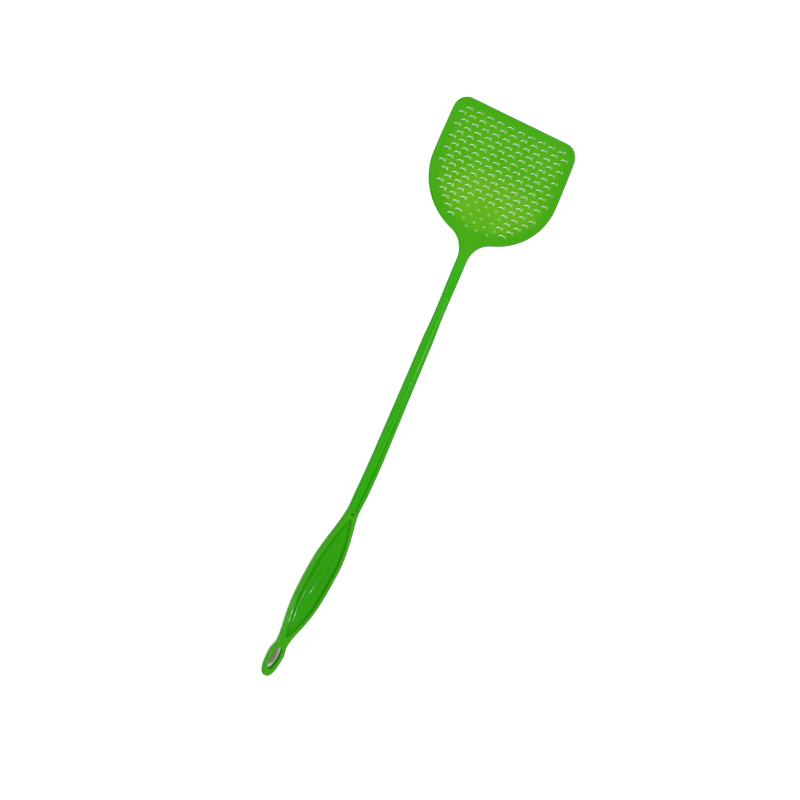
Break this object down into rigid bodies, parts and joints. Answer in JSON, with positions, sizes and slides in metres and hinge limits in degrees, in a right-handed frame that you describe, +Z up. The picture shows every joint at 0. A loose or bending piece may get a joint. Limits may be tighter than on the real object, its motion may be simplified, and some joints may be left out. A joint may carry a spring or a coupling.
{
  "type": "fly swatter",
  "caption": "One-piece moulded fly swatter with a perforated flat blade, a springy neck, a channelled shaft and a cranked leaf-shaped grip with a hanging loop.",
  "frame": {"origin": "on the surface it lies on, under the middle of its outline", "axes": "+Y along the swatter towards the blade's tip, +X across the blade, +Z up, out of the striking face"},
  "size_m": [0.1034, 0.4462, 0.0306],
  "materials": {
    "blade": "glossy, slightly translucent green moulding plastic",
    "handle": "glossy green moulding plastic"
  },
  "bodies": {
    "handle": {"shaft": "handle", "grip_rim": "handle", "grip_panel": "handle", "hanging_loop": "handle", "neck": "handle"},
    "blade": {"blade_rim": "blade", "blade_web": "blade"}
  },
  "joints": [
    {"name": "neck_flex", "type": "hinge", "parent": "handle", "child": "blade", "pos_m": [0, 0.10487, 0.01293], "axis": [1, 0, 0], "range_deg": [-25, 25], "stiffness_Nm_per_rad": 1.4, "deforming": ["neck"]}
  ]
}
